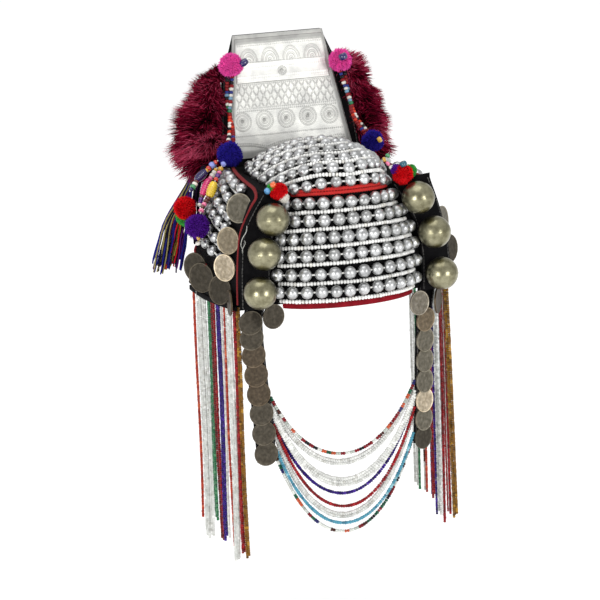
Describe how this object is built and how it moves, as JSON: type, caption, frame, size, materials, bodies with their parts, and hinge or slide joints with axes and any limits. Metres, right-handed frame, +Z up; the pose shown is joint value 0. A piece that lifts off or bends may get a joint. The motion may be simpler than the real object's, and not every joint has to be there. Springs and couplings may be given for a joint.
{
  "type": "headdress",
  "caption": "Beaded black cloth headdress with a silver plate standing at the back, silver balls, coins, pompoms, dyed fur and long bead strands.",
  "frame": {"origin": "middle of the head opening, level with the forehead edge", "axes": "+Z up out of the crown, front faces -Y, +X is the viewer's right"},
  "size_m": [0.2641, 0.2146, 0.478],
  "materials": {
    "black_cloth": "matte",
    "red_cloth": "matte",
    "red_cord": "matte",
    "silver_beads": "satin",
    "nickel": "worn",
    "silver_sheet": "embossed",
    "dark_coin": "worn",
    "grey_coin": "worn",
    "mixed_beads": "gloss",
    "white_beads": "gloss",
    "red_beads": "gloss",
    "blue_beads": "gloss",
    "turquoise_beads": "gloss",
    "pink_glass": "gloss",
    "blue_glass": "gloss",
    "yellow_glass": "gloss",
    "wool_pink": "matte",
    "wool_blue": "matte",
    "wool_red": "matte",
    "wool_green": "matte",
    "wool_purple": "matte",
    "fur": "matte",
    "yarn": "matte"
  },
  "bodies": {
    "root": {"cap": "black_cloth", "front_hem": "red_cloth", "front_bead_rows": "silver_beads", "crown_bead_rows": "silver_beads", "side_bead_rows_left": "silver_beads", "side_bead_rows_right": "silver_beads", "crown_cord": "red_cord", "side_cord_left": "red_cord", "side_cord_right": "red_cord", "strip_left": "black_cloth", "strip_right": "black_cloth", "ball_left_1": "nickel", "ball_left_2": "nickel", "ball_left_3": "nickel", "ball_right_1": "nickel", "ball_right_2": "nickel", "ball_right_3": "nickel", "plate_board": "black_cloth", "back_plate": "silver_sheet", "strap_left": "black_cloth", "strap_right": "black_cloth", "strap_coins_left": "dark_coin", "strap_coins_right": "dark_coin", "side_coin_left_top": "grey_coin", "side_coin_left_middle": "grey_coin", "side_coins_left_front": "grey_coin", "side_coins_left_rear": "grey_coin", "corner_coin_left": "grey_coin", "side_coin_right_top": "grey_coin", "side_coin_right_low": "grey_coin", "edge_coin_right": "grey_coin", "corner_coin_right": "grey_coin", "chin_strand_1": "mixed_beads", "chin_strand_2": "white_beads", "chin_strand_3": "white_beads", "chin_strand_4": "blue_beads", "chin_strand_5": "red_beads", "chin_strand_6": "white_beads", "chin_strand_7": "turquoise_beads", "chin_strand_8": "mixed_beads", "edge_string_left": "mixed_beads", "edge_string_right": "mixed_beads", "bead_tassel_left": "mixed_beads", "bead_tassel_right": "mixed_beads", "pompom_pink_left": "wool_pink", "pompom_pink_right": "wool_pink", "pompom_blue_left": "wool_blue", "pompom_blue_right": "wool_blue", "pompom_red_left": "wool_red", "pompom_green_left": "wool_green", "pompom_purple_left": "wool_purple", "pompoms_front_left": "wool_red", "pompoms_front_right": "wool_red", "bead_string_blue": "blue_glass", "bead_string_pink": "pink_glass", "bead_string_yellow": "yellow_glass", "fur_left": "fur", "fur_right": "fur", "yarn_tassel_left": "yarn"}
  },
  "joints": []
}
